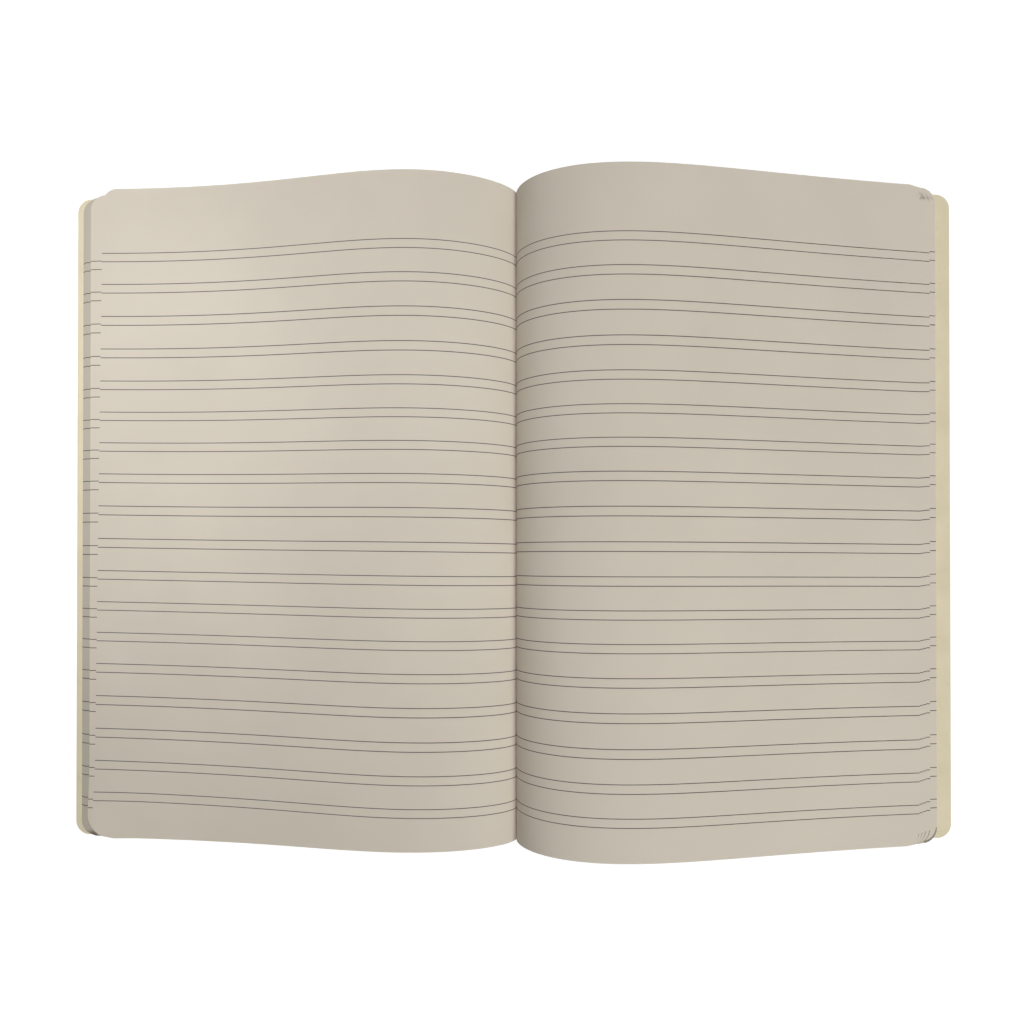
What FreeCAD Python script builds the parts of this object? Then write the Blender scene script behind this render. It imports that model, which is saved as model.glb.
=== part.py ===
# An open composition notebook lying flat: one card cover folded at its spine, the glue that
# holds the leaves, and the block of leaves, spread into a left and a right hump.
#
# Frame, in millimetres: X towards the right-hand page, Y towards the head of the page, Z up.
# The origin is the centre of the underside of the spine.
import FreeCAD, Part
import os

import Sketcher

HEAD = 1
TAIL = -1
LEFT = -1
RIGHT = 1
NO_SIDE = 0

doc = FreeCAD.newDocument("open_notebook")
sheet = doc.addObject("Spreadsheet::Sheet", "sizes")

DRIVING_SIZES = [
    ("page_width", 152.4, "flat width of a leaf, from the spine to the fore-edge"),
    ("page_height", 228.6, "height of a leaf, from tail to head"),
    ("block_thickness", 7.3, "thickness of the closed block of leaves, and width of the spine"),
    ("corner_radius", 5.0, "rounded fore-edge corners of the leaves and the cover"),
    ("cover_thickness", 0.35, "card of the cover"),
    ("glue_thickness", 0.5, "glue between the spine of the cover and the leaves"),
    ("gutter_offset", 2.1, "how far the valley lies to the right of the middle of the spine"),
    ("gutter_height", 2.5, "height of the valley above the card"),
    ("left_crest_reach", 36.6, "from the valley to the crest of the left hump"),
    ("left_crest_head", 16.0, "height of that crest above the card, at the head"),
    ("left_crest_tail", 13.5, "height of that crest above the card, at the tail"),
    ("left_rise_lean", 2.6, "how far the rise from the valley leans out"),
    ("left_rise_height", 5.8, "how high that rise runs on at its first slope"),
    ("left_rise_round", 19.6, "half length of the crest on its valley side"),
    ("left_fall_round", 26.4, "half length of the crest on its fore-edge side"),
    ("left_fall_run", 62.4, "how far in the gentle slope at the fore-edge starts"),
    ("left_fall_sag", 4.6, "height of that slope at its inner end"),
    ("left_top_inset", 9.5, "from the edge of the cover to the edge of the top leaf"),
    ("left_top_height", 2.85, "height of the top leaf at its fore-edge"),
    ("left_step_inset", 6.3, "from the edge of the cover to the edge of the leaf below it"),
    ("left_step_height", 2.45, "height of the leaf below it, at its fore-edge"),
    ("left_low_inset", 2.3, "from the edge of the cover to the edge of the lowest leaf"),
    ("right_crest_reach", 35.3, "from the valley to the crest of the right hump"),
    ("right_crest_head", 19.7, "height of that crest above the card, at the head"),
    ("right_crest_tail", 20.8, "height of that crest above the card, at the tail"),
    ("right_rise_lean", 0.2, "how far the rise from the valley leans out"),
    ("right_rise_height", 7.4, "how high that rise runs on at its first slope"),
    ("right_rise_round", 25.2, "half length of the crest on its valley side"),
    ("right_fall_round", 22.7, "half length of the crest on its fore-edge side"),
    ("right_fall_run", 58.7, "how far in the gentle slope at the fore-edge starts"),
    ("right_fall_sag", 13.0, "height of that slope at its inner end"),
    ("right_top_inset", 11.3, "from the edge of the cover to the edge of the top leaf"),
    ("right_top_height", 4.2, "height of the top leaf at its fore-edge"),
    ("right_step_inset", 7.3, "from the edge of the cover to the edge of the leaf below it"),
    ("right_step_height", 3.5, "height of the leaf below it, at its fore-edge"),
    ("right_low_inset", 5.5, "from the edge of the cover to the edge of the lowest leaf"),
]
for row, (alias, value, meaning) in enumerate(DRIVING_SIZES, start=1):
    sheet.set(f"A{row}", meaning)
    sheet.set(f"B{row}", str(value))
    sheet.setAlias(f"B{row}", alias)
doc.recompute()


def size(alias):
    """The value of one driving size."""
    return float(sheet.get(alias))


def origin_plane(body, role):
    """One of the three planes that a body starts with."""
    for feature in body.Origin.OriginFeatures:
        if feature.Role == role:
            return feature
    raise ValueError(role)


def plan_rectangle(body, name, side, width):
    """A sketch in plan, as high as a leaf, that starts at an edge of the spine.

    It runs outwards on its side. With no side it starts at the left edge of the spine and
    runs across it.
    """
    sketch = body.newObject("Sketcher::SketchObject", name)
    sketch.AttachmentSupport = [(origin_plane(body, "XY_Plane"), "")]
    sketch.MapMode = "FlatFace"
    half_height = size("page_height") / 2
    outward = LEFT if side == LEFT else RIGHT
    near_x = size("block_thickness") / 2 * (side if side else LEFT)
    far_x = near_x + outward * size("block_thickness")
    corners = [
        (near_x, -half_height), (far_x, -half_height), (far_x, half_height), (near_x, half_height)]
    for start, end in zip(corners, corners[1:] + corners[:1]):
        line = Part.LineSegment(FreeCAD.Vector(*start, 0), FreeCAD.Vector(*end, 0))
        sketch.addGeometry(line, False)
    for edge in range(4):
        sketch.addConstraint(Sketcher.Constraint("Coincident", edge, 2, (edge + 1) % 4, 1))
    for edge in (0, 2):
        sketch.addConstraint(Sketcher.Constraint("Horizontal", edge))
    for edge in (1, 3):
        sketch.addConstraint(Sketcher.Constraint("Vertical", edge))

    def bound(kind, picks, value, expression, label):
        index = sketch.addConstraint(Sketcher.Constraint(kind, *picks, value))
        sketch.renameConstraint(index, label)
        sketch.setExpression(f"Constraints.{label}", expression)

    bound("DistanceY", (1, 1, 1, 2), 2 * half_height, "sizes.page_height", "leaf_height")
    bound("DistanceY", (0, 1, -1, 1), half_height, "sizes.page_height / 2", "to_middle")
    span = (0, 1, 0, 2) if outward == RIGHT else (0, 2, 0, 1)
    bound("DistanceX", span, size("block_thickness"), width, "outward_width")
    start = (-1, 1, 0, 1) if side == RIGHT else (0, 1, -1, 1)
    bound("DistanceX", start, size("block_thickness") / 2, "sizes.block_thickness / 2", "half_spine")
    return sketch


def padded_body(name, side, width, thickness):
    """A flat piece: a rectangle in plan, padded upwards by its thickness."""
    body = doc.addObject("PartDesign::Body", name)
    body.Label = name
    sketch = plan_rectangle(body, f"{name}_plan", side, width)
    pad = body.newObject("PartDesign::Pad", f"{name}_sheet")
    pad.Profile = sketch
    pad.setExpression("Length", thickness)
    doc.recompute()
    return body, pad


def cover_panel(name, side):
    """One side of the card cover, with the two corners of its fore-edge rounded."""
    body, pad = padded_body(name, side, "sizes.page_width", "sizes.cover_thickness")
    fore_edge_x = max(abs(vertex.X) for vertex in pad.Shape.Vertexes)
    corner_edges = []
    for number, edge in enumerate(pad.Shape.Edges, start=1):
        ends = [vertex.Point for vertex in edge.Vertexes]
        upright = abs(ends[0].z - ends[1].z) > size("cover_thickness") / 2
        if upright and abs(abs(ends[0].x) - fore_edge_x) < size("cover_thickness"):
            corner_edges.append(f"Edge{number}")
    rounding = body.newObject("PartDesign::Fillet", f"{name}_corners")
    rounding.Base = (pad, corner_edges)
    rounding.setExpression("Radius", "sizes.corner_radius")
    body.Tip = rounding
    return body


def spine_strip(name, thickness, height_above_floor):
    """A strip as wide as the spine and as high as the leaves."""
    body, pad = padded_body(name, NO_SIDE, "sizes.block_thickness", thickness)
    if height_above_floor:
        body.setExpression("Placement.Base.z", height_above_floor)
    return body


def section(name, wire):
    """One outline that a lofted form passes through."""
    outline = doc.addObject("Part::Feature", name)
    outline.Shape = wire
    return outline


def loft(name, outlines):
    """A solid with straight rulings from outline to outline."""
    form = doc.addObject("Part::Loft", name)
    form.Sections = outlines
    form.Solid = True
    form.Ruled = True
    return form


def fore_edge_x(side, inset):
    """Where a leaf ends, as far in from the edge of the cover as its inset says."""
    return side * (size("block_thickness") / 2 + size("page_width") - inset)


def hump(side, crest, card_top, y):
    """The top leaf on one side, from the valley over the crest to its fore-edge."""
    word = "left" if side == LEFT else "right"
    valley = size("gutter_offset")
    top_edge = fore_edge_x(side, size(f"{word}_top_inset"))
    crest_x = valley + side * size(f"{word}_crest_reach")
    rise = [
        (valley, size("gutter_height")),
        (valley + side * size(f"{word}_rise_lean"),
         size("gutter_height") + size(f"{word}_rise_height")),
        (crest_x - side * size(f"{word}_rise_round"), crest),
        (crest_x, crest),
    ]
    fall = [
        (crest_x, crest),
        (crest_x + side * size(f"{word}_fall_round"), crest),
        (top_edge - side * size(f"{word}_fall_run"), size(f"{word}_fall_sag")),
        (top_edge, size(f"{word}_top_height")),
    ]
    curves = []
    for handles in (rise, fall):
        curve = Part.BezierCurve()
        curve.setPoles([FreeCAD.Vector(x, y, card_top + z) for x, z in handles])
        curves.append(curve.toShape())
    return curves


def page_profile(name, end, left_crest, right_crest):
    """The cross-section of the leaves at the head or the tail.

    It runs out past both fore-edges, and steps over the glue at the spine.
    """
    y = end * size("page_height") / 2
    card_top = size("cover_thickness")
    glue_top = card_top + size("glue_thickness")
    half_spine = size("block_thickness") / 2
    outside = half_spine + size("page_width")
    left_rise, left_fall = hump(LEFT, left_crest, card_top, y)
    right_rise, right_fall = hump(RIGHT, right_crest, card_top, y)
    left_top = card_top + size("left_top_height")
    right_top = card_top + size("right_top_height")
    left_end = fore_edge_x(LEFT, size("left_top_inset"))
    right_end = fore_edge_x(RIGHT, size("right_top_inset"))

    def straight(points):
        corners = [FreeCAD.Vector(x, y, z) for x, z in points]
        return [Part.makeLine(a, b) for a, b in zip(corners, corners[1:])]

    under = straight([
        (left_end, left_top), (-outside, left_top), (-outside, card_top),
        (-half_spine, card_top), (-half_spine, glue_top),
        (half_spine, glue_top), (half_spine, card_top),
        (outside, card_top), (outside, right_top), (right_end, right_top)])
    over = [right_fall, right_rise, left_rise, left_fall]
    return section(name, Part.Wire(Part.__sortEdges__(under + over)))


def fanned_outline(name, side, inset, height):
    """One side of the leaves in plan, with its two outer corners rounded."""
    z = size("cover_thickness") + height
    half_height = size("page_height") / 2
    radius = size("corner_radius")
    edge_x = fore_edge_x(side, inset)
    start_x = edge_x - side * radius
    middle_x = edge_x - side * radius * (1 - 2 ** -0.5)
    shoulder = half_height - radius
    middle_y = shoulder + radius * 2 ** -0.5

    def point(x, y):
        return FreeCAD.Vector(x, y, z)

    def arc(start, middle, end):
        return Part.Arc(start, middle, end).toShape()

    edges = [
        Part.makeLine(point(0, -half_height), point(start_x, -half_height)),
        arc(point(start_x, -half_height), point(middle_x, -middle_y), point(edge_x, -shoulder)),
        Part.makeLine(point(edge_x, -shoulder), point(edge_x, shoulder)),
        arc(point(edge_x, shoulder), point(middle_x, middle_y), point(start_x, half_height)),
        Part.makeLine(point(start_x, half_height), point(0, half_height)),
        Part.makeLine(point(0, half_height), point(0, -half_height)),
    ]
    return section(name, Part.Wire(edges))


def lower_leaves(word, side):
    """The leaves that show past the top one: their edges slant out towards the card."""
    return loft(f"{word}_lower_leaves", [
        fanned_outline(f"{word}_lowest_leaf", side, size(f"{word}_low_inset"), 0),
        fanned_outline(f"{word}_stepped_leaf", side, size(f"{word}_step_inset"),
                       size(f"{word}_step_height")),
    ])


def upper_leaves():
    """The upright block inside the edge of both top leaves, with rounded corners."""
    block = doc.addObject("Part::Box", "upper_block")
    reach = "sizes.block_thickness / 2 + sizes.page_width"
    block.setExpression(
        "Length", f"2 * ({reach}) - sizes.left_top_inset - sizes.right_top_inset")
    block.setExpression("Width", "sizes.page_height")
    block.setExpression(
        "Height",
        "2 * max(sizes.left_crest_head; sizes.left_crest_tail;"
        " sizes.right_crest_head; sizes.right_crest_tail)")
    block.setExpression("Placement.Base.x", f"sizes.left_top_inset - ({reach})")
    block.setExpression("Placement.Base.y", "-sizes.page_height / 2")
    block.setExpression("Placement.Base.z", "sizes.cover_thickness")
    doc.recompute()
    upright = []
    for number, edge in enumerate(block.Shape.Edges, start=1):
        ends = [vertex.Point for vertex in edge.Vertexes]
        if abs(ends[0].z - ends[1].z) > size("cover_thickness"):
            upright.append((number, size("corner_radius"), size("corner_radius")))
    rounded = doc.addObject("Part::Fillet", "upper_leaves")
    rounded.Base = block
    rounded.Edges = upright
    return rounded


def page_block(name):
    """All the leaves as one solid: the profile trimmed to the outlines of the leaves."""
    profile = loft("leaf_profile", [
        page_profile("head_profile", HEAD, size("left_crest_head"), size("right_crest_head")),
        page_profile("tail_profile", TAIL, size("left_crest_tail"), size("right_crest_tail")),
    ])
    outlines = doc.addObject("Part::MultiFuse", "leaf_outlines")
    outlines.Shapes = [lower_leaves("left", LEFT), lower_leaves("right", RIGHT), upper_leaves()]
    pages = doc.addObject("Part::Common", name)
    pages.Label = name
    pages.Base = profile
    pages.Tool = outlines
    return pages


sub_parts = [
    cover_panel("front_cover", LEFT),
    spine_strip("cover_spine", "sizes.cover_thickness", None),
    cover_panel("back_cover", RIGHT),
    spine_strip("spine_glue", "sizes.glue_thickness", "sizes.cover_thickness"),
    page_block("pages"),
]
doc.recompute()

for item in doc.Objects:
    for state in item.State:
        if state in ("Invalid", "Error"):
            raise RuntimeError(f"{item.Name} is {state}")
for item in sub_parts:
    if item.Shape.isNull() or not item.Shape.isValid() or len(item.Shape.Solids) != 1:
        raise RuntimeError(f"{item.Label} isn't one sound solid")

os.makedirs("parts", exist_ok=True)
for item in sub_parts:
    item.Shape.exportStep(f"parts/{item.Label}.step")
    box = item.Shape.BoundBox
    print(f"{item.Label}: {item.Shape.Volume / 1000:.2f} cm3,"
          f" {box.XLength:.1f} x {box.YLength:.1f} x {box.ZLength:.2f} mm")
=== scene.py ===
# %% [markdown]
# # An open composition notebook
#
# A soft-cover notebook lies open near its middle, seen from above. A sheet of cream card is
# its cover, glue holds the leaves in the spine, and 72 ruled leaves lie spread to the left and
# to the right of the fold.
#
# The card and the glue are simple flat pieces, so their solids stay and get a finish. The
# leaves are one solid in the frame. Here they become separate sheets of paper, because the
# stepped fore-edges, the thin shadows between the sheets and the air under the hump are what
# the eye reads as paper.

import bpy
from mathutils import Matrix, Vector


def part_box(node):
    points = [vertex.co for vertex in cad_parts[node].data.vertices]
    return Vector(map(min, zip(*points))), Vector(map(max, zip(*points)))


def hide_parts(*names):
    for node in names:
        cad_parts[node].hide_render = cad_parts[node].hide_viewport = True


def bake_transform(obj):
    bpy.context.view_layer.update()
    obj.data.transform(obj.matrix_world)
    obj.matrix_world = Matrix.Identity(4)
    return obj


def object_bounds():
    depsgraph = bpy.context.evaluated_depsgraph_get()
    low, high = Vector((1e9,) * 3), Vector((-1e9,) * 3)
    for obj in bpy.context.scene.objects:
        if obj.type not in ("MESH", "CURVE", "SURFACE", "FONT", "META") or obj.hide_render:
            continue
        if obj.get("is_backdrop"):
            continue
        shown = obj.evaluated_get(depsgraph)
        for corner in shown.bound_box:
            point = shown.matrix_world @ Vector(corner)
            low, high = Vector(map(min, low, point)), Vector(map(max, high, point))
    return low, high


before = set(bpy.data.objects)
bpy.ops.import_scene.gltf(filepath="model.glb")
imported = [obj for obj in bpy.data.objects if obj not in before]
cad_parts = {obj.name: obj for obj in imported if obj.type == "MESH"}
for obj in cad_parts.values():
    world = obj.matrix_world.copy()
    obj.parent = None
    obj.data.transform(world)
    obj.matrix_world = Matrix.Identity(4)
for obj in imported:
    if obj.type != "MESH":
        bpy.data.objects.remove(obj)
CAD_BOX = [list(corner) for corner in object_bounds()]

import math

import bpy
import numpy as np
from mathutils import Vector

MM = 0.001
print("pieces in the frame:", sorted(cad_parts))
print("box of the frame in metres:", CAD_BOX)

# %% [markdown]
# ## Real sizes
#
# The finished leaves have to lie exactly where the solid block of leaves lies, between the
# card and the open air. So the sizes that both share are read from the frame. It works in
# metres, but paper is easier to think about in millimetres: everything below is in
# millimetres until it becomes a mesh.

# %% Sizes read from the frame
SPINE_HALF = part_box("cover_spine")[1].x / MM
CARD_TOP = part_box("front_cover")[1].z / MM
GLUE_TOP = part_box("spine_glue")[1].z / MM
COVER_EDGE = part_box("back_cover")[1].x / MM
PAGE_WIDTH = COVER_EDGE - SPINE_HALF
PAGE_HEIGHT = (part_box("back_cover")[1].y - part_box("back_cover")[0].y) / MM
print(f"page {PAGE_WIDTH:.1f} x {PAGE_HEIGHT:.1f} mm, spine {2 * SPINE_HALF:.1f} mm")

# %% [markdown]
# ## Sizes of the paper
#
# Both sides meet in a valley, a little to the right of the middle and above the card. Below it
# a leaf runs on into the glue, and that root is not seen. With the air between them the leaves
# lie 0.1 mm apart, and their outer corners are rounded.

# %% Sizes of the paper
VALLEY_X = 2.1
VALLEY_RISE = 2.5
ROOT_MIDDLE = -0.65
ROOT_LENGTH = math.hypot(VALLEY_X - ROOT_MIDDLE, CARD_TOP + VALLEY_RISE - GLUE_TOP)
FREE_WIDTH = PAGE_WIDTH - ROOT_LENGTH
LEAF_THICKNESS = 0.08
LEAF_PITCH = 0.1
CORNER_RADIUS = 5.0
print(f"{ROOT_LENGTH:.1f} mm of a leaf is root, {FREE_WIDTH:.1f} mm of it can be seen")

# %% [markdown]
# ## Helpers for materials
#
# A colour is easiest to pick as the hex value that a screen shows, but a shader works with
# linear light, so one function converts it. A second one adds any node with its settings and
# its links. That keeps each material as a short list of steps.


# %% Colours and nodes
def linear_colour(hex_code):
    """A screen colour such as "d3ccbb" as linear red, green, blue and alpha."""
    screen = [int(hex_code[place:place + 2], 16) / 255 for place in (0, 2, 4)]
    linear = [c / 12.92 if c <= 0.04045 else ((c + 0.055) / 1.055) ** 2.4 for c in screen]
    return (*linear, 1.0)


def add_node(tree, kind, settings, inputs):
    """Adds a node. An input is a plain value or the output socket that feeds it."""
    node = tree.nodes.new("ShaderNode" + kind)
    for name, value in settings.items():
        setattr(node, name, value)
    for name, value in inputs.items():
        if isinstance(value, bpy.types.NodeSocket):
            tree.links.new(value, node.inputs[name])
        else:
            node.inputs[name].default_value = value
    return node


def new_material(name):
    """An empty node material and its output node."""
    material = bpy.data.materials.new(name)
    material.use_nodes = True
    material.node_tree.nodes.clear()
    output = add_node(material.node_tree, "OutputMaterial", {}, {})
    return material, material.node_tree, output


def calculate(tree, operation, first, second=0.0):
    """One step of arithmetic, as its output socket."""
    return add_node(tree, "Math", {"operation": operation}, {0: first, 1: second}).outputs[0]


def step_down(tree, value, full, none):
    """1 up to full, 0 from none on, with a soft slope between them."""
    ramp = add_node(
        tree, "MapRange", {"interpolation_type": "SMOOTHSTEP"},
        {"Value": value, "From Min": full, "From Max": none, "To Min": 1.0, "To Max": 0.0})
    return ramp.outputs["Result"]


def mix_colour(tree, share, first, second):
    """Two colours mixed, as a colour socket."""
    mixed = add_node(
        tree, "Mix", {"data_type": "RGBA"}, {0: share, 6: first, 7: second})
    return mixed.outputs[2]


print("helpers for materials are ready")

# %% [markdown]
# ## Ruled writing paper
#
# The leaves are uncoated writing paper of about 80 grams per square metre. It is matt, a warm
# grey-cream, and its surface is a felt of short fibres. Thin dark lines are printed on it in
# pairs, 18 pairs on a page, and they run off the paper at both sides.
#
# The lines could be thin pieces of mesh, but ink has no thickness. So they are drawn in the
# material from a UV map that says where on the page a point lies. The pattern then follows
# the bent sheet, on both of its faces. In the fold the paper takes a faint lavender tint that is
# painted lighter than the paper, a painted glow of the light bounced into the fold. A thin dark
# line runs along the fold, partly glue and partly painted shade of the crease.

# %% Sizes of the print, and plain paper
FIRST_LINE = 22.86
PAIR_PITCH = 11.237
PAIR_GAP = 3.073
PAIR_COUNT = 18
PITCH_DRIFT = 0.03
PITCH_DRIFT_PAIRS = 6.0
PITCH_DRIFT_START = 2.5
INK_HALF_WIDTH = 0.125
INK_SOFTNESS = 0.08
# Along the fold: a thin dark line, partly glue and partly painted shade, and a lavender tint
# painted lighter than the paper as painted bounce light.
FOLD_LINE_WIDTH = 0.18
FOLD_LINE_START = 1.3
FOLD_TINT_AND_GLOW_REACH = 1.9
CLOUD_SIZE = 45.0
FIBRE_SIZE = 0.9
CLOUD_RANGE = (0.3, 0.7)
CLOUD_TONES = (0.965, 1.02)


def paper_surface(tree, colour, fibre_depth):
    """Matt paper: the given colour with faint clouds, and a felt of fibres as bump."""
    place = add_node(tree, "TexCoord", {}, {}).outputs["Object"]
    clouds = add_node(
        tree, "TexNoise", {},
        {"Vector": place, "Scale": 1 / (CLOUD_SIZE * MM), "Detail": 3.0, "Roughness": 0.55})
    shade = add_node(
        tree, "MapRange", {},
        {"Value": clouds.outputs["Fac"], "From Min": CLOUD_RANGE[0], "From Max": CLOUD_RANGE[1],
         "To Min": CLOUD_TONES[0], "To Max": CLOUD_TONES[1]})
    clouded = add_node(
        tree, "VectorMath", {"operation": "SCALE"},
        {0: colour, "Scale": shade.outputs["Result"]})
    fibres = add_node(
        tree, "TexNoise", {},
        {"Vector": place, "Scale": 1 / (FIBRE_SIZE * MM), "Detail": 4.0, "Roughness": 0.65})
    bump = add_node(
        tree, "Bump", {},
        {"Strength": 0.35, "Distance": fibre_depth * MM, "Height": fibres.outputs["Fac"]})
    return add_node(
        tree, "BsdfPrincipled", {},
        {"Base Color": clouded.outputs["Vector"], "Roughness": 0.88, "IOR": 1.45,
         "Specular IOR Level": 0.25, "Normal": bump.outputs["Normal"]})


print(f"{PAIR_COUNT} pairs of lines, one every {PAIR_PITCH} mm")

# %% [markdown]
# ## Painted shade and wear
#
# The notebook has been used, and the leaves on the right have a smudge at the head. Their
# corners at the tail get thin dark arcs of painted shade, where the fanned leaves shade each
# other. On the left, the lower leaves stand out from the block: their rim is painted darker,
# as painted shade from the leaves above, and their corner at the tail gets a brown painted
# shadow. The map of the page says where these marks lie too, so every leaf carries its own.

# %% Painted shade and wear
# The thin dark arcs on the corners at the tail are painted shade, where fanned leaves shade each
# other. The smudge at the head is wear.
SHADE_ARC_INNER = CORNER_RADIUS - 0.5
SHADE_ARC_OUTER = CORNER_RADIUS - 0.15
SHADE_ARC_START = 0.3
SHADE_ARC_STRENGTH = 0.7
SMUDGE_PLACE = (FREE_WIDTH - 0.7, 3.1)
SMUDGE_INNER = 0.5
SMUDGE_OUTER = 1.9
SMUDGE_GRAIN = 1.6
SMUDGE_PATCHES = (0.42, 0.62)
SMUDGE_STRENGTH = 0.5
# The darker rim at the fore-edge is painted shade from the leaves above. The brown spot at the
# corner at the tail is a painted shadow under the lifted corner.
RIM_SHADE_FULL = 4.2
RIM_SHADE_NONE = 5.2
CORNER_SHADOW_PLACE = (FREE_WIDTH - 2.9, 0.6)
CORNER_SHADOW_INNER = 0.5
CORNER_SHADOW_OUTER = 3.2


def distance(tree, across, up):
    """How far a point is from a centre. Neither of the two parts may be below 0."""
    squares = [calculate(tree, "POWER", part, 2.0) for part in (across, up)]
    return calculate(tree, "SQRT", calculate(tree, "ADD", squares[0], squares[1]))


def spot(tree, from_fold, from_end, place, inner, outer):
    """A soft round spot near a corner of the page: 1 in its middle, 0 around it."""
    across = calculate(tree, "ABSOLUTE", calculate(tree, "SUBTRACT", from_fold, place[0]))
    up = calculate(tree, "ABSOLUTE", calculate(tree, "SUBTRACT", from_end, place[1]))
    return step_down(tree, distance(tree, across, up), inner, outer)


def arc_shade_and_smudge(tree, from_fold, from_head, from_tail):
    """Where the paper is painted darker: 1 is dark, 0 is clean.

    A thin dark arc on the rounded corner at the tail is painted shade, and a smudge at the head
    is wear.
    """
    past_centre = calculate(tree, "MAXIMUM", calculate(
        tree, "SUBTRACT", from_fold, FREE_WIDTH - CORNER_RADIUS), 0.0)
    below_centre = calculate(tree, "MAXIMUM", calculate(
        tree, "SUBTRACT", CORNER_RADIUS, from_tail), 0.0)
    off_arc = step_down(
        tree, distance(tree, past_centre, below_centre), SHADE_ARC_INNER, SHADE_ARC_OUTER)
    turning = calculate(tree, "GREATER_THAN", calculate(
        tree, "MINIMUM", past_centre, below_centre), SHADE_ARC_START)
    arc = calculate(tree, "MULTIPLY", calculate(tree, "SUBTRACT", 1.0, off_arc), turning)

    grain = add_node(
        tree, "TexNoise", {},
        {"Vector": add_node(tree, "TexCoord", {}, {}).outputs["Object"],
         "Scale": 1 / (SMUDGE_GRAIN * MM), "Detail": 3.0})
    patchy = add_node(
        tree, "MapRange", {},
        {"Value": grain.outputs["Fac"], "From Min": SMUDGE_PATCHES[0],
         "From Max": SMUDGE_PATCHES[1]})
    smudge = calculate(
        tree, "MULTIPLY",
        spot(tree, from_fold, from_head, SMUDGE_PLACE, SMUDGE_INNER, SMUDGE_OUTER),
        calculate(tree, "MULTIPLY", patchy.outputs["Result"], SMUDGE_STRENGTH))
    return calculate(
        tree, "MAXIMUM", calculate(tree, "MULTIPLY", arc, SHADE_ARC_STRENGTH), smudge)


# An arc on a corner is painted shade.
print("a painted shade arc is", SHADE_ARC_OUTER - SHADE_ARC_INNER, "mm wide")

# %% [markdown]
# ## The finished paper
#
# Three kinds of it are used: clean; with painted shade arcs and a smudge for the right side;
# and with a painted shade rim and a painted corner shadow for the lower half of the left side.
# The cut edges are a fourth finish, without lines.


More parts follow.
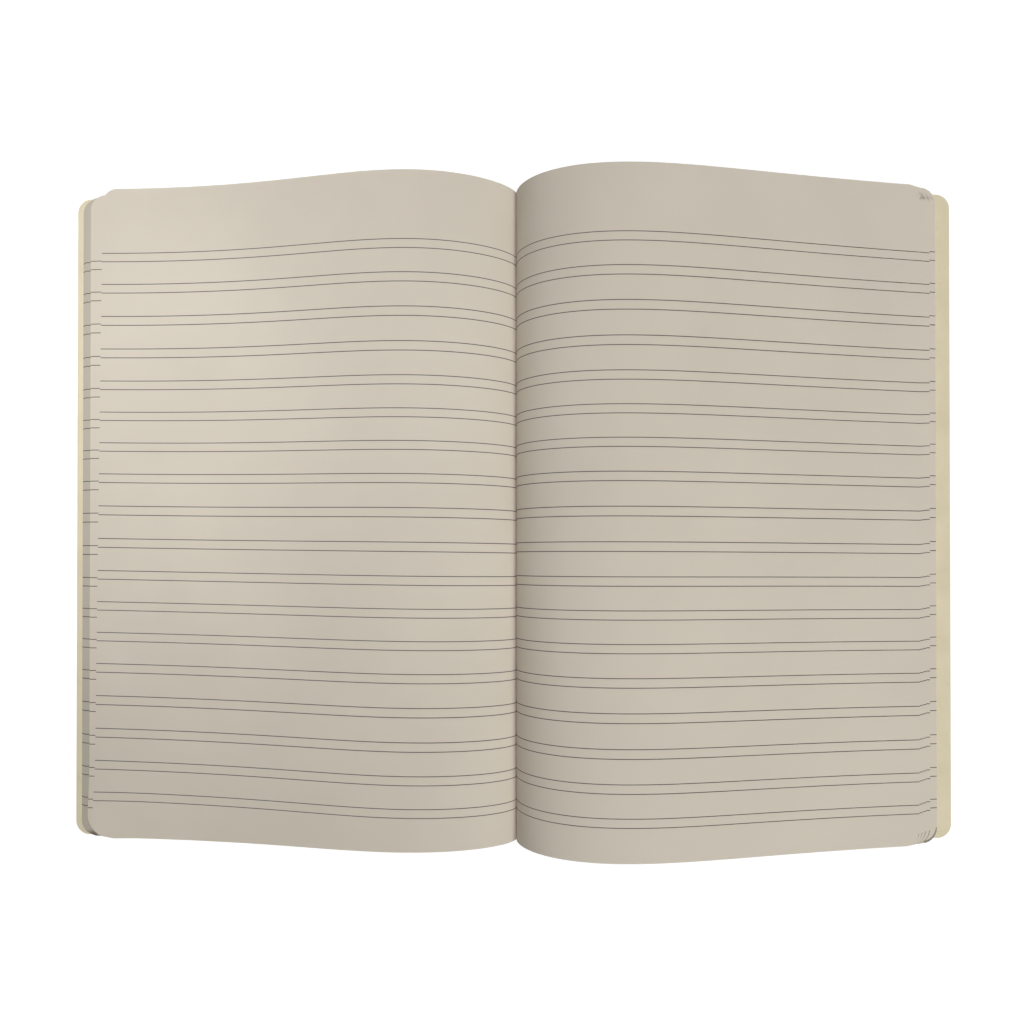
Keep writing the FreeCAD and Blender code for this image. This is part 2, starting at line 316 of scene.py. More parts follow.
# %% Ruled paper
def ruled_paper(name, arc_shaded_and_smudged=False, rim_and_corner_shaded=False):
    """Uncoated writing paper: a soft matt cream with crisp dark pairs of lines.

    Paper with arc shade gets thin arcs of painted shade on its corners at the tail, and a smudge
    at the head. Paper with rim shade has a rim painted darker as shade at its fore-edge, and a
    brown painted shadow at its corner at the tail.
    """
    material, tree, output = new_material(name)
    page = add_node(tree, "UVMap", {"uv_map": "page_place"}, {})
    axes = add_node(tree, "SeparateXYZ", {}, {"Vector": page.outputs["UV"]})
    from_fold = calculate(tree, "MULTIPLY", axes.outputs["X"], PAGE_WIDTH)
    from_tail = calculate(tree, "MULTIPLY", axes.outputs["Y"], PAGE_HEIGHT)
    from_head = calculate(tree, "SUBTRACT", PAGE_HEIGHT, from_tail)

    below_first = calculate(tree, "SUBTRACT", from_head, FIRST_LINE)
    pairs = calculate(tree, "DIVIDE", below_first, PAIR_PITCH)
    drift_place = calculate(tree, "SUBTRACT", pairs, PITCH_DRIFT_START)
    drift_angle = calculate(tree, "MULTIPLY", drift_place, 2 * math.pi / PITCH_DRIFT_PAIRS)
    drift = calculate(tree, "MULTIPLY", calculate(tree, "SINE", drift_angle), PITCH_DRIFT)
    printed_pairs = calculate(tree, "SUBTRACT", pairs, drift)
    in_pair = calculate(tree, "SUBTRACT", calculate(
        tree, "FRACT", calculate(tree, "ADD", printed_pairs, 0.5)), 0.5)
    upper_line = calculate(tree, "ABSOLUTE", in_pair)
    lower_line = calculate(
        tree, "ABSOLUTE", calculate(tree, "SUBTRACT", in_pair, PAIR_GAP / PAIR_PITCH))
    nearest = calculate(tree, "MULTIPLY", calculate(
        tree, "MINIMUM", upper_line, lower_line), PAIR_PITCH)
    line = step_down(
        tree, nearest, INK_HALF_WIDTH - INK_SOFTNESS, INK_HALF_WIDTH + INK_SOFTNESS)
    from_middle_pair = calculate(
        tree, "ABSOLUTE", calculate(tree, "SUBTRACT", printed_pairs, (PAIR_COUNT - 1) / 2))
    on_ruling = calculate(tree, "LESS_THAN", from_middle_pair, PAIR_COUNT / 2)
    ink = calculate(tree, "MULTIPLY", line, on_ruling)

    # Painted light and shade in the fold: the lavender tint is painted lighter than the paper as
    # bounce light, and the thin dark line is partly glue and partly painted shade of the crease.
    fold_tint_and_glow = step_down(tree, from_fold, 0.0, FOLD_TINT_AND_GLOW_REACH)
    fold_line = calculate(
        tree, "MULTIPLY", step_down(tree, from_fold, FOLD_LINE_WIDTH / 2, FOLD_LINE_WIDTH),
        calculate(tree, "GREATER_THAN", from_head, FOLD_LINE_START))

    sheet_colour = mix_colour(
        tree, fold_tint_and_glow, linear_colour("d4cbbc"), linear_colour("e6dbe2"))
    # Painted shade: a darker rim at the fore-edge, and a brown painted shadow at the corner at the
    # tail.
    if rim_and_corner_shaded:
        from_fore_edge = calculate(tree, "SUBTRACT", FREE_WIDTH, from_fold)
        rim = step_down(tree, from_fore_edge, RIM_SHADE_FULL, RIM_SHADE_NONE)
        sheet_colour = mix_colour(tree, rim, sheet_colour, linear_colour("b9b1a3"))
        corner_shadow = spot(tree, from_fold, from_tail, CORNER_SHADOW_PLACE, CORNER_SHADOW_INNER, CORNER_SHADOW_OUTER)
        sheet_colour = mix_colour(tree, corner_shadow, sheet_colour, linear_colour("5b543f"))
    with_lines = mix_colour(tree, ink, sheet_colour, linear_colour("403a37"))
    colour = mix_colour(tree, fold_line, with_lines, linear_colour("8d8296"))
    # Painted shade: dark arcs on the corners at the tail. The smudge at the head is wear.
    if arc_shaded_and_smudged:
        arcs_and_smudge = arc_shade_and_smudge(tree, from_fold, from_head, from_tail)
        colour = mix_colour(tree, arcs_and_smudge, colour, linear_colour("5e5748"))
    surface = paper_surface(tree, colour, fibre_depth=0.03)
    tree.links.new(surface.outputs["BSDF"], output.inputs["Surface"])
    return material


def cut_paper_edge():
    """The cut edge of a leaf: the same paper, rougher and a little greyer where it was cut."""
    material, tree, output = new_material("cut_edge_of_writing_paper")
    surface = paper_surface(tree, linear_colour("c6bfad")[:3], fibre_depth=0.05)
    tree.links.new(surface.outputs["BSDF"], output.inputs["Surface"])
    return material


PAPER = ruled_paper("uncoated_ruled_writing_paper")
# Paper with painted shade arcs on its corners and a smudge of wear, for the right side.
ARC_SHADED_AND_SMUDGED_PAPER = ruled_paper("ruled_paper_with_painted_arc_shade_and_smudge", arc_shaded_and_smudged=True)
# Paper with a painted shade rim and a painted corner shadow, for the lower half of the left side.
RIM_SHADED_PAPER = ruled_paper("ruled_paper_with_painted_rim_shade_and_corner_shadow", rim_and_corner_shaded=True)
PAPER_EDGE = cut_paper_edge()
for paper in (PAPER, ARC_SHADED_AND_SMUDGED_PAPER, RIM_SHADED_PAPER, PAPER_EDGE):
    print("paper material:", paper.name)

# %% [markdown]
# ## Cover card
#
# The cover is one sheet of pulp card of about 300 grams per square metre, cream-yellow through
# and through. It is matt too, but its fibres are coarser than the paper's, it has small darker
# and lighter clouds, and now and then a longer fibre shows as a pale or dark fleck.

# %% Card
CARD_CLOUD_SIZE = 14.0
CARD_FIBRE_SIZE = 0.7
FLECK_SPACING = 2.4


def cover_card():
    """Uncoated pulp card: warm yellow, matt, softly clouded, with scattered flecks."""
    material, tree, output = new_material("uncoated_cream_card")
    place = add_node(tree, "TexCoord", {}, {}).outputs["Object"]
    clouds = add_node(
        tree, "TexNoise", {},
        {"Vector": place, "Scale": 1 / (CARD_CLOUD_SIZE * MM), "Detail": 5.0, "Roughness": 0.6})
    tone = add_node(
        tree, "MapRange", {},
        {"Value": clouds.outputs["Fac"], "From Min": CLOUD_RANGE[0],
         "From Max": CLOUD_RANGE[1]})
    card = mix_colour(
        tree, tone.outputs["Result"], linear_colour("d8cdaf"), linear_colour("e3d8bb"))
    flecks = add_node(
        tree, "TexVoronoi", {"feature": "F1"},
        {"Vector": place, "Scale": 1 / (FLECK_SPACING * MM), "Randomness": 1.0})
    fleck = step_down(tree, flecks.outputs["Distance"], 0.05, 0.14)
    flecked = mix_colour(
        tree, calculate(tree, "MULTIPLY", fleck, 0.25), card, linear_colour("a89d78"))
    fibres = add_node(
        tree, "TexNoise", {},
        {"Vector": place, "Scale": 1 / (CARD_FIBRE_SIZE * MM), "Detail": 4.0, "Roughness": 0.7})
    bump = add_node(
        tree, "Bump", {},
        {"Strength": 0.5, "Distance": 0.06 * MM, "Height": fibres.outputs["Fac"]})
    surface = add_node(
        tree, "BsdfPrincipled", {},
        {"Base Color": flecked, "Roughness": 0.82, "IOR": 1.45, "Specular IOR Level": 0.3,
         "Normal": bump.outputs["Normal"]})
    tree.links.new(surface.outputs["BSDF"], output.inputs["Surface"])
    return material


CARD = cover_card()
print("card material:", CARD.name)

# %% [markdown]
# ## Binding glue
#
# Cold padding glue dries to a milky, slightly glossy skin. It shows only at the head and the
# tail of the spine and when the notebook is turned over in the hand, but it is finished as
# well: a warm white with a waxy gloss and shallow ripples from the brush.

# %% Glue
GLUE_RIPPLE = 3.0


def binding_glue():
    """Dried padding glue: milky, waxy, rippled across the spine."""
    material, tree, output = new_material("dried_padding_glue")
    place = add_node(tree, "TexCoord", {}, {}).outputs["Object"]
    ripples = add_node(
        tree, "TexNoise", {},
        {"Vector": place, "Scale": 1 / (GLUE_RIPPLE * MM), "Detail": 2.0, "Distortion": 0.6})
    milk = mix_colour(
        tree, ripples.outputs["Fac"], linear_colour("d8cfb8"), linear_colour("e6dfcd"))
    bump = add_node(
        tree, "Bump", {},
        {"Strength": 0.4, "Distance": 0.1 * MM, "Height": ripples.outputs["Fac"]})
    surface = add_node(
        tree, "BsdfPrincipled", {},
        {"Base Color": milk, "Roughness": 0.42, "IOR": 1.47, "Normal": bump.outputs["Normal"]})
    tree.links.new(surface.outputs["BSDF"], output.inputs["Surface"])
    return material


GLUE = binding_glue()
FINISHES = {
    "front_cover": CARD,
    "cover_spine": CARD,
    "back_cover": CARD,
    "spine_glue": GLUE,
}
for node_name, finish in FINISHES.items():
    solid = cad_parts[node_name]
    solid.data.materials.clear()
    solid.data.materials.append(finish)
    print(node_name, "is finished in", finish.name)

# %% [markdown]
# ## The line that a leaf follows
#
# Seen from its head, a leaf is a curved line. It starts in the glue, rises out of the fold,
# goes over the crest of the hump and falls gently to its fore-edge. Two cubic curves that
# meet at the crest draw that line with few handles. Handles like them shape the solid block
# of leaves in the frame, so the top leaf lies on its surface or a fraction of a millimetre
# from it.
#
# The lowest leaf starts at the edge of the spine and lies flat on the card.
#
# Each side has its own handles, because the photo shows a lower and longer hump on the left.

# %% Sizes of the two sides
LEFT = {
    "name": "left", "side": -1, "cover": "front_cover", "leaves": 30,
    "crest_reach": 36.6, "crest_head": 16.0, "crest_tail": 13.5,
    "rise_lean": 2.6, "rise_height": 5.8, "rise_round": 19.6,
    "fall_round": 26.4, "fall_x": -84.15, "fall_sag": 4.6,
    "step_inset": 6.3, "step_height": 2.45, "low_inset": 2.1,
}
RIGHT = {
    "name": "right", "side": 1, "cover": "back_cover", "leaves": 42,
    "crest_reach": 35.3, "crest_head": 20.1, "crest_tail": 20.8,
    "rise_lean": 0.2, "rise_height": 7.4, "rise_round": 25.2,
    "fall_round": 22.7, "fall_x": 86.05, "fall_sag": 13.0,
    "step_inset": 7.3, "step_height": 3.5, "low_inset": 5.5,
}
print(LEFT["leaves"], "leaves lie on the left and", RIGHT["leaves"], "on the right")

# %% Lines of the leaves
ROOT_HANDLE = (1.6, 0.2)
VALLEY_HANDLE = 0.15
CARD_CLEARANCE = 0.02
LOW_BEND = (1.5, 2.5, 6.0)


def cubic(handles, steps=120):
    """Points along one cubic curve."""
    a, b, c, d = (np.array(handle, float) for handle in handles)
    t = np.linspace(0.0, 1.0, steps)[:, None]
    return (1 - t) ** 3 * a + 3 * (1 - t) ** 2 * t * b + 3 * (1 - t) * t ** 2 * c + t ** 3 * d


def along(points, shares):
    """Points of a line at shares of its length, with that length."""
    run = np.concatenate([[0.0], np.cumsum(np.hypot(*np.diff(points, axis=0).T))])
    places = np.asarray(shares) * run[-1]
    spots = [np.interp(places, run, points[:, axis]) for axis in (0, 1)]
    return np.column_stack(spots), run[-1]


def upper_line(half, crest, end_x, end_height):
    """A leaf near the top: out of the glue, through the valley, over the crest, to its end."""
    side = half["side"]
    valley = (VALLEY_X, CARD_TOP + VALLEY_RISE)
    lean = np.array([side * half["rise_lean"], half["rise_height"]])
    crest_x = VALLEY_X + side * half["crest_reach"]
    top = CARD_TOP + crest
    root = cubic([
        (ROOT_MIDDLE, GLUE_TOP), (ROOT_MIDDLE + ROOT_HANDLE[0], GLUE_TOP + ROOT_HANDLE[1]),
        tuple(np.array(valley) - VALLEY_HANDLE * lean), valley])
    rise = cubic([
        valley, tuple(np.array(valley) + lean),
        (crest_x - side * half["rise_round"], top), (crest_x, top)])
    fall = cubic([
        (crest_x, top), (crest_x + side * half["fall_round"], top),
        (half["fall_x"], CARD_TOP + half["fall_sag"]), (end_x, CARD_TOP + end_height)])
    return np.vstack([root, rise[1:], fall[1:]])


def lowest_line(half):
    """The lowest leaf: from the edge of the spine down to the card, and flat to its end."""
    side = half["side"]
    rest = CARD_TOP + LEAF_THICKNESS + CARD_CLEARANCE
    root_x = side * (SPINE_HALF - LEAF_THICKNESS)
    end_x = side * (COVER_EDGE - half["low_inset"])
    bend = cubic([
        (root_x, GLUE_TOP), (root_x + side * LOW_BEND[0], GLUE_TOP),
        (root_x + side * LOW_BEND[1], rest), (root_x + side * LOW_BEND[2], rest)])
    return np.vstack([bend, [(end_x, rest)]])


for half in (LEFT, RIGHT):
    line = upper_line(half, half["crest_head"], half["side"] * 145, 4.0)
    length = along(line, [0.0])[1]
    print(f"{half['name']} top leaf is {length:.1f} mm long from the glue to its fore-edge")

# %% [markdown]
# ## One sheet of paper
#
# A leaf is a flat grid whose points are laid on those lines. Two things make it a sheet of
# paper: its outer corners are rounded, and it has a thickness. For the corners, the columns
# of the grid are set closer near the fore-edge, and each one is as high as the rounded
# outline lets it be. The thickness comes from Solidify, which also gives the cut edge its own
# material.
#
# Cloth simulation could bend the sheets too, but paper keeps its length and its straight
# rulings, and the lines say exactly where it lies.

# %% A leaf as a mesh
LIFT_REACH = 26.0
LIFT_POWER = 1.5
FOLD_REACH = 10.0
FEWEST_CORNER_COLUMNS = 8
SMOOTH_ANGLE = 40


def column_shares(columns):
    """Where the columns of the grid stand: closer in the fold and at the rounded corner."""
    fold = FOLD_REACH / PAGE_WIDTH
    corner = CORNER_RADIUS / PAGE_WIDTH
    in_fold = np.linspace(0.0, fold, columns // 5, endpoint=False)
    corner_columns = max(FEWEST_CORNER_COLUMNS, columns // 8)
    middle = columns + 1 - len(in_fold) - corner_columns
    on_page = np.linspace(fold, 1.0 - corner, middle, endpoint=False)
    turn = np.linspace(math.pi / 2, 0.0, corner_columns)
    return np.concatenate([in_fold, on_page, 1.0 - corner * (1 - np.cos(turn))])


def half_heights(shares, radius):
    """Half the height of the leaf at each column, less where the corner is rounded."""
    inset = np.clip(radius - (1.0 - shares) * PAGE_WIDTH, 0.0, radius)
    return PAGE_HEIGHT / 2 - radius + np.sqrt(radius ** 2 - inset ** 2)


def leaf_grid(name, columns, rows):
    """A flat grid, deselected from all else, with its map of the page."""
    bpy.ops.object.select_all(action="DESELECT")
    bpy.ops.mesh.primitive_grid_add(
        x_subdivisions=columns, y_subdivisions=rows, size=1.0, calc_uvs=True)
    leaf = bpy.context.object
    leaf.name = name
    leaf.data.uv_layers[0].name = "page_place"
    return leaf


def corner_lift(x, y, lift):
    """How far a leaf stands up toward its corner at the tail."""
    past = np.clip((np.abs(x) - (COVER_EDGE - LIFT_REACH)) / LIFT_REACH, 0.0, 1.0)
    below = np.clip((-y - (PAGE_HEIGHT / 2 - LIFT_REACH)) / LIFT_REACH, 0.0, 1.0)
    return lift * (past * below) ** LIFT_POWER


def lay_leaf(leaf, half, head_line, tail_line, columns, sheet):
    """Moves the points of a grid onto the leaf's two lines, and maps the page onto it.

    The sheet says what makes this leaf differ from its neighbours.
    """
    flat = np.empty(len(leaf.data.vertices) * 3)
    leaf.data.vertices.foreach_get("co", flat)
    flat = flat.reshape(-1, 3)
    shares = column_shares(columns)
    column = np.rint((flat[:, 0] * half["side"] + 0.5) * columns).astype(int)
    up = flat[:, 1] * 2
    tail_radius = sheet.get("tail_radius", CORNER_RADIUS)
    heights = np.where(
        up > 0, half_heights(shares, CORNER_RADIUS)[column],
        half_heights(shares, tail_radius)[column])
    toward_head = (1 + up * heights / (PAGE_HEIGHT / 2)) / 2
    head = head_line[column]
    tail = tail_line[column]
    bent = tail + (head - tail) * toward_head[:, None]
    y = up * heights
    out = shares[column]
    y_laid = y + sheet.get("skew", 0.0) * out + sheet.get("sweep", 0.0) * out ** 2
    z_laid = bent[:, 1] + corner_lift(bent[:, 0], y, sheet.get("tail_lift", 0.0))
    spots = np.column_stack([bent[:, 0], y_laid, z_laid])
    leaf.data.vertices.foreach_set("co", (spots * MM).ravel())

    print_rise = sheet["print_rise"] + sheet.get("print_bend", 0.0) * out ** 2
    corner_vertex = np.empty(len(leaf.data.loops), int)
    leaf.data.loops.foreach_get("vertex_index", corner_vertex)
    page_place = np.column_stack([
        out - ROOT_LENGTH / PAGE_WIDTH, 0.5 + (y - print_rise) / PAGE_HEIGHT])
    leaf.data.uv_layers["page_place"].data.foreach_set("uv", page_place[corner_vertex].ravel())
    leaf.data.update()
    return spots


def give_thickness(piece, paper):
    """Turns grids into paper: Solidify downwards, its rim in the cut-edge material."""
    piece.data.materials.append(paper)
    piece.data.materials.append(PAPER_EDGE)
    solidify = piece.modifiers.new("paper_thickness", "SOLIDIFY")
    solidify.thickness = LEAF_THICKNESS * MM
    solidify.offset = -1.0
    solidify.material_offset_rim = 1
    bpy.ops.object.select_all(action="DESELECT")
    piece.select_set(True)
    bpy.context.view_layer.objects.active = piece
    bpy.ops.object.modifier_apply(modifier=solidify.name)
    bpy.ops.object.shade_smooth_by_angle(angle=math.radians(SMOOTH_ANGLE))


eighth_columns = np.round(column_shares(40)[::8] * PAGE_WIDTH, 1)
print("every eighth column of a grid of 40 stands at", eighth_columns, "mm")

# %% [markdown]
# ## How the leaves are placed
#
# When a cover is closed, its leaves stand up with it. Their roots stay in the glue, and the
# paper bends in the fold. Here each piece of leaves only gets its place baked into its mesh, so
# it lies where it was made and does not follow a cover.


def closing_bend(piece):
    """Bakes the place of a group of leaves into its mesh. It does not bend the leaves."""
    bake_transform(piece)


# %% [markdown]
# ## The leaves of both sides
#
# On the right, most leaves lie close together and their fore-edges form one slanted step
# down to the card. Four leaves on top of them end further in, and each is a step of its own.
# On the left, the block has slipped: its lower half stands out from under its upper half, and
# one skewed leaf lies on top, with its corner at the tail curling up. Under both humps the
# leaves spread, with more air between them near the card.
#
# Every leaf is a grid of its own, laid on its own two lines. Leaves that lie together are
# joined into one piece, so that they make sixteen pieces and not seventy-two.

# %% How the leaves differ
LEFT["paper"] = PAPER
LEFT["top_sheets"] = [
    {"end_head": -145.2, "end_tail": -147.9, "height_head": 3.0, "height_tail": 2.6,
     "skew": 1.4, "sweep": 0.6, "print_rise": -0.4, "print_bend": 0.15, "tail_lift": 3.2},
]
LEFT["low_sheets"] = {"print_rise": -0.78, "tail_radius": 9.0, "tail_lift": 2.4}
# The outer leaves on the left carry a painted shade rim and a painted corner shadow.
LEFT["outer_paper"] = RIM_SHADED_PAPER
LEFT["outer_sheets"] = {"print_rise": -0.78, "tail_radius": 5.0, "tail_lift": 0.0}
LEFT["edge_step"] = 0.49
# The right leaves carry painted shade arcs at their tail corners and a smudge of wear.
RIGHT["paper"] = ARC_SHADED_AND_SMUDGED_PAPER
RIGHT["top_sheets"] = [
    {"end_head": 142.9, "end_tail": 141.0, "height_head": 5.7, "height_tail": 6.2,
     "print_rise": 0.05, "print_bend": -0.65},
    {"end_head": 144.0, "end_tail": 142.5, "height_head": 5.2, "height_tail": 5.6,
     "print_rise": 0.05, "print_bend": -0.5},
    {"end_head": 145.2, "end_tail": 144.1, "height_head": 4.7, "height_tail": 4.9,
     "print_rise": 0.05, "print_bend": -0.35},
    {"end_head": 146.4, "end_tail": 146.0, "height_head": 4.2, "height_tail": 4.2,
     "print_rise": 0.05, "print_bend": -0.2},
]
RIGHT["low_sheets"] = {"print_rise": 0.5}
RIGHT["edge_step"] = None
print(len(LEFT["top_sheets"]), "top leaf on the left,", len(RIGHT["top_sheets"]), "on the right")

# %% Where the leaves under them lie
SPREAD = 1.7
GATHER_START = 0.55
GATHER_LENGTH = 0.45
STEP_START = 0.8
STEP_LENGTH = 0.2
OUTER_LEAST = 0.55
OUTER_SLANT = 0.45


def line_pair(half, ends, heights, columns):
    """The head line and the tail line of an upper leaf, at the columns of the grid."""
    shares = column_shares(columns)
    lines = []
    for crest, end_x, height in zip((half["crest_head"], half["crest_tail"]), ends, heights):
        points, length = along(upper_line(half, crest, end_x, height), shares)
        lines.append(points)
    return lines


def depths(half, number, gap, shares, low_number, low_count):
    """How far a leaf lies below the upper line, from its root to its fore-edge."""
    last = half["leaves"] - 1
    pitch = np.minimum(LEAF_PITCH, gap / last)
    over_hump = pitch * number + (gap - pitch * last) * (number / last) ** SPREAD
    at_edge = gap * low_number / (low_count - 1)
    toward_edge = np.clip((shares - GATHER_START) / GATHER_LENGTH, 0.0, 1.0)
    toward_edge = toward_edge ** 2 * (3 - 2 * toward_edge)
    return over_hump + (at_edge - over_hump) * toward_edge


def stepped_edge(half, points, line, lowest, shares, level):
    """Draws the leaves out to two fore-edges: an upright one, and a slanted one further out."""
    below_step = (level - half["edge_step"]) / (1.0 - half["edge_step"])
    drawn_out = OUTER_LEAST + OUTER_SLANT * below_step if below_step > 0.0 else 0.0
    stepped = line[:, 0] + (lowest[:, 0] - line[:, 0]) * drawn_out
    toward_edge = np.clip((shares - STEP_START) / STEP_LENGTH, 0.0, 1.0)
    return points[:, 0] + (stepped - points[:, 0]) * toward_edge


print(f"the leaves gather toward the fore-edge over its last {GATHER_LENGTH * PAGE_WIDTH:.0f} mm")

# %% [markdown]
# ## Making the leaves
#
# The top leaves get a fine grid, because their bend is what is seen. For the ones under them a
# coarse grid does. Real leaves never lie in perfect order, so each lower one is shifted a little
# by chance, and so is its print. The seed is fixed, so every run gives the same notebook.

# %% Making the leaves
FINE_GRID = (140, 60)
COARSE_GRID = (52, 14)
GROUP_SIZE = 7
TOP_GATHER_POWER = 6
EDGE_WANDER = 0.06
PRINT_WANDER = 0.04

chance = np.random.RandomState(11)


def make_top_leaves(half):
    """The leaves that show their own fore-edge, each as a piece of its own."""
    columns, rows = FINE_GRID
    shares = column_shares(columns)
    lowest = along(lowest_line(half), shares)[0]
    for number, sheet in enumerate(half["top_sheets"]):
        lines = line_pair(
            half, (sheet["end_head"], sheet["end_tail"]),
            (sheet["height_head"], sheet["height_tail"]), columns)
        laid = []
        for line in lines:
            gap = np.hypot(*(line - lowest).T)
            depth = LEAF_PITCH * number * (1 - shares ** TOP_GATHER_POWER)
            laid.append(line + (lowest - line) * (depth / gap)[:, None])
        leaf = leaf_grid(f"{half['name']}_top_leaf_{number + 1}", columns, rows)
        spots = lay_leaf(leaf, half, laid[0], laid[1], columns, sheet)
        give_thickness(leaf, half["paper"])
        finish_leaves(leaf)


def make_lower_leaves(half):
    """The leaves under them, joined in groups."""
    columns, rows = COARSE_GRID
    side = half["side"]
    shares = column_shares(columns)
    lowest = along(lowest_line(half), shares)[0]
    step_x = side * (COVER_EDGE - half["step_inset"])
    lines = line_pair(half, (step_x, step_x), (half["step_height"],) * 2, columns)
    top_count = len(half["top_sheets"])
    low_count = half["leaves"] - top_count
    has_step = half["edge_step"] is not None
    group = []
    for low_number in range(low_count):
        number = top_count + low_number
        level = low_number / (low_count - 1)
        is_outer = has_step and level > half["edge_step"]
        laid = []
        wander = chance.uniform(-EDGE_WANDER, EDGE_WANDER)
        for line in lines:
            gap = np.hypot(*(line - lowest).T)
            depth = depths(half, number, gap, shares, low_number, low_count)
            points = line + (lowest - line) * (depth / gap)[:, None]
            points[:, 0] += side * wander * shares
            if has_step:
                points[:, 0] = stepped_edge(half, points, line, lowest, shares, level)
            laid.append(points)
        sheet = dict(half["outer_sheets"] if is_outer else half["low_sheets"])
        sheet["print_rise"] += chance.uniform(-PRINT_WANDER, PRINT_WANDER)
        leaf = leaf_grid(f"{half['name']}_leaf_{number + 1}", columns, rows)
        spots = lay_leaf(leaf, half, laid[0], laid[1], columns, sheet)
        group.append((leaf, spots, number))
        if len(group) == GROUP_SIZE or low_number == low_count - 1:
            join_group(group, half, half["outer_paper"] if is_outer else half["paper"])
            group = []


def join_group(group, half, paper):
    """Joins leaves that lie together and gives them their thickness."""
    bpy.ops.object.select_all(action="DESELECT")
    for leaf, _, _ in group:
        leaf.select_set(True)
    piece = group[0][0]
    bpy.context.view_layer.objects.active = piece
    bpy.ops.object.join()
    piece.name = f"{half['name']}_leaves_{group[0][2] + 1}_to_{group[-1][2] + 1}"
    give_thickness(piece, paper)
    finish_leaves(piece)


def finish_leaves(piece):
    """Bakes the piece's place into its mesh, hides the frame's block of leaves, and prints its
    faces.
    """
    closing_bend(piece)
    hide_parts("pages")
    print(f"{piece.name}: {len(piece.data.polygons)} faces")


for half in (LEFT, RIGHT):
    make_top_leaves(half)
    make_lower_leaves(half)

# %% [markdown]
# ## Floor
#
# A pale floor carries the notebook. Seen by the camera it is lifted to white, so that the
# page is the brightest thing that has a tone, but the soft shadow under the cover stays.

# %% Floor
FLOOR_SIZE = 4.0
FLOOR_DROP = 0.02
FLOOR_GLOW = 0.85


def studio_floor():
    """A pale matt floor that the camera sees as nearly white."""
    material, tree, output = new_material("pale_matt_studio_floor")
    rays = add_node(tree, "LightPath", {}, {})
    seen = calculate(tree, "MAXIMUM", rays.outputs["Is Camera Ray"], calculate(
        tree, "MAXIMUM", rays.outputs["Is Glossy Ray"], rays.outputs["Is Transmission Ray"]))
    matt = add_node(
        tree, "MixShader", {},
        {0: seen,
         1: add_node(tree, "BsdfDiffuse", {}, {"Color": linear_colour("d8d8d8")}).outputs[0],
         2: add_node(tree, "BsdfDiffuse", {}, {"Color": linear_colour("8c8c8c")}).outputs[0]})
    glow = add_node(
        tree, "Emission", {},
        {"Color": (1.0, 1.0, 1.0, 1.0), "Strength": calculate(tree, "MULTIPLY", seen, FLOOR_GLOW)})
    both = add_node(tree, "AddShader", {}, {0: matt.outputs[0], 1: glow.outputs[0]})
    tree.links.new(both.outputs[0], output.inputs["Surface"])
    return material


bpy.ops.object.select_all(action="DESELECT")
bpy.ops.mesh.primitive_plane_add(size=FLOOR_SIZE, location=(0.0, 0.0, -FLOOR_DROP * MM))
floor = bpy.context.object
floor.name = "studio_floor"
floor.data.materials.append(studio_floor())
floor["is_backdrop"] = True
print("floor is", FLOOR_SIZE, "m wide")

# %% [markdown]
# ## Light
#
# Paper shows its bends only by light and shade. One soft lamp hangs over the right side, so
# that the hump shades the page beside the fold. A second one, over the tail, reaches down into
# the fold. A weak narrow one brightens the left page, and a faint white sky fills the rest.

# %% Light
SKY_STRENGTH = 0.11
LAMPS = {
    "right_lamp": {
        "place": (0.5, 0.1, 0.9), "aim": (0.0, 0.0, 0.0),
        "size": 0.5, "spread": 180, "power": 5.87},
    "tail_lamp": {
        "place": (0.0, -0.8, 1.1), "aim": (0.0, 0.0, 0.0),
        "size": 0.8, "spread": 180, "power": 5.33},
    "left_page_lamp": {
        "place": (-0.35, 0.25, 0.45), "aim": (-0.13, 0.06, 0.0),
        "size": 0.15, "spread": 30, "power": 0.051},
}
for lamp_name, lamp in LAMPS.items():
    light = bpy.data.lights.new(lamp_name, "AREA")
    light.shape = "SQUARE"
    light.size = lamp["size"]
    light.spread = math.radians(lamp["spread"])
    light.energy = lamp["power"]
    holder = bpy.data.objects.new(lamp_name, light)
    bpy.context.scene.collection.objects.link(holder)
    holder.location = lamp["place"]
    beam = Vector(lamp["aim"]) - holder.location
    holder.rotation_euler = beam.to_track_quat("-Z", "Y").to_euler()
    holder.visible_camera = False
    print(lamp_name, "at", lamp["place"], "m")

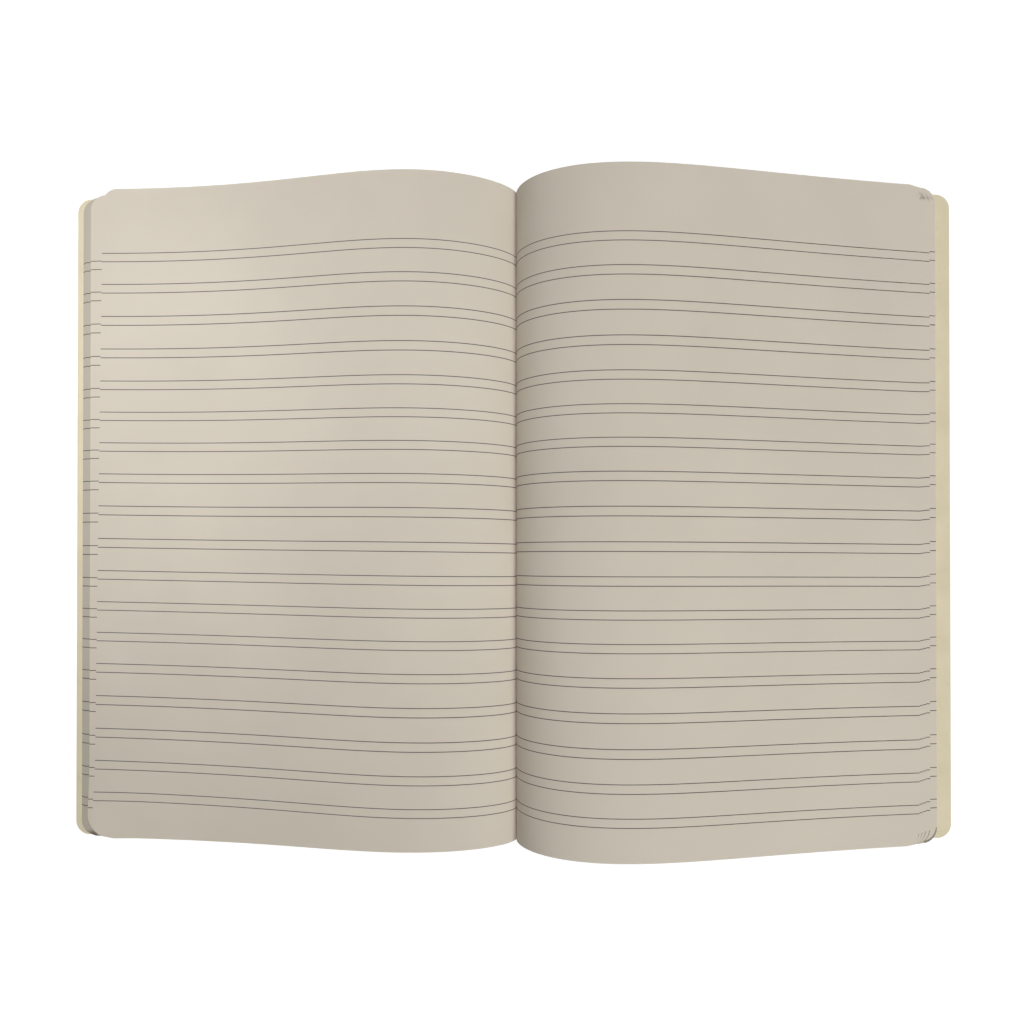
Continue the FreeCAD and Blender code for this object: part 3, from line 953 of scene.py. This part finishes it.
world = bpy.data.worlds.new("studio_sky")
bpy.context.scene.world = world
world.use_nodes = True
sky = world.node_tree
backdrop = sky.nodes["Background"]
sky_rays = add_node(sky, "LightPath", {}, {})
sky_seen = calculate(sky, "MAXIMUM", sky_rays.outputs["Is Camera Ray"], calculate(
    sky, "MAXIMUM", sky_rays.outputs["Is Glossy Ray"],
    sky_rays.outputs["Is Transmission Ray"]))
backdrop.inputs["Color"].default_value = (1.0, 1.0, 1.0, 1.0)
sky.links.new(
    calculate(sky, "ADD", SKY_STRENGTH, calculate(sky, "MULTIPLY", sky_seen, 1 - SKY_STRENGTH)),
    backdrop.inputs["Strength"])
bpy.context.scene.view_settings.view_transform = "Standard"

# %% [markdown]
# ## Camera
#
# The notebook is seen from straight above and from close by, with a wide lens. So the humps
# come nearer to the camera than the fore-edges, and the rulings on them bow outward.

# %% Camera
CAMERA_HEIGHT = 229.0
CAMERA_PLACE = (0.86, -15.8)
CAMERA_TILT = (0.264, 0.59)
CAMERA_LENS = 22.52
CAMERA_SENSOR = 36.0
CAMERA_SHIFT = (0.0055, 0.0440)

lens = bpy.data.cameras.new("camera")
lens.sensor_width = CAMERA_SENSOR
lens.lens = CAMERA_LENS
lens.shift_x, lens.shift_y = CAMERA_SHIFT
lens.clip_start = 0.01
camera = bpy.data.objects.new("camera", lens)
bpy.context.scene.collection.objects.link(camera)
camera.location = (
    CAMERA_PLACE[0] * MM, CAMERA_PLACE[1] * MM, (CARD_TOP + CAMERA_HEIGHT) * MM)
camera.rotation_euler = (math.radians(CAMERA_TILT[0]), math.radians(CAMERA_TILT[1]), 0.0)
bpy.context.scene.camera = camera
print("camera is", CAMERA_HEIGHT, "mm above the card")

# %% [markdown]
# ## The size of the finished notebook
#
# The finished notebook is as large as the frame says, but for the head of the skewed left leaf,
# which reaches 2 mm past the cover. Both boxes are printed.

# %% Print both boxes
VISUAL_BOX = [list(corner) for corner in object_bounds()]
for name, box in (("frame", CAD_BOX), ("finished", VISUAL_BOX)):
    print(name, [[round(value / MM, 2) for value in corner] for corner in box])
